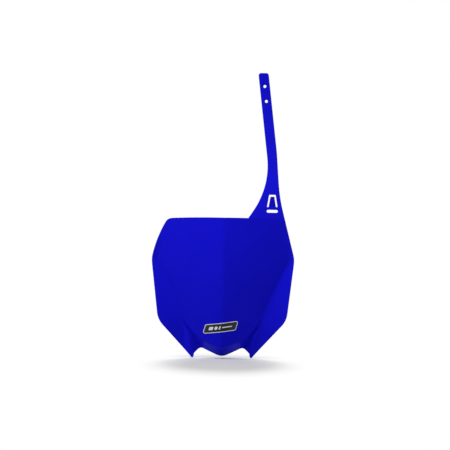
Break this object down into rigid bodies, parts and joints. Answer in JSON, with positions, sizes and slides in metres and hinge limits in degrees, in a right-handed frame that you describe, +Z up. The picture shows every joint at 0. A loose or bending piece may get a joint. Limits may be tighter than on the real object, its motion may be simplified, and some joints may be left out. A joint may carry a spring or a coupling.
{
  "type": "motorcycle front number board",
  "caption": "Moulded front number board with a ridged, winged face, pointed lower corners, a rear bolt shelf and a long fastening strap with a slot and pin holes.",
  "frame": {"origin": "centre of the lower bolt hole, on the top face of its shelf behind the face", "axes": "+Z up along the board and along the bolt hole, +X to the right of someone who looks at the face, +Y from the face towards the motorcycle"},
  "size_m": [0.2304, 0.1103, 0.4614],
  "materials": {
    "board": "injection-moulded polypropylene, even satin grain"
  },
  "bodies": {
    "root": {"number_board": "board"}
  },
  "joints": []
}
